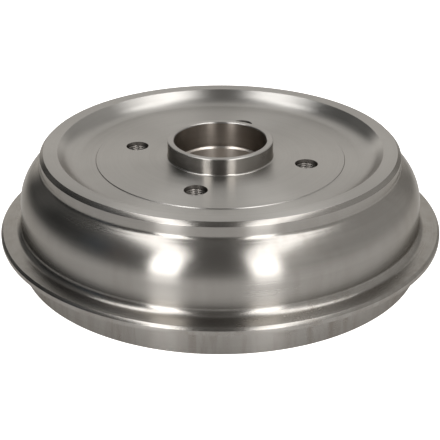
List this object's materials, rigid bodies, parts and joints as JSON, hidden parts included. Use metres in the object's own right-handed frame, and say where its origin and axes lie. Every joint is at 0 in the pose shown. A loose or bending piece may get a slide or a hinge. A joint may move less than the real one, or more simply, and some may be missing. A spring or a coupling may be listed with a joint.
{
  "type": "brake drum",
  "caption": "Turned iron brake drum with integral bearing hub, centring nose, raised land, threaded wheel-bolt holes, backing-plate flange and open shoe cavity.",
  "frame": {"origin": "centre of the open rim's plane, on the axis of rotation", "axes": "+Z along the axis from the open rim towards the hub nose and wheel face; X and Y lie in the rim plane"},
  "size_m": [0.2738, 0.2738, 0.0741],
  "materials": {
    "turned_iron": "fine-turned bright metal with a light oil film"
  },
  "bodies": {
    "root": {"brake_drum": "turned_iron"}
  },
  "joints": []
}
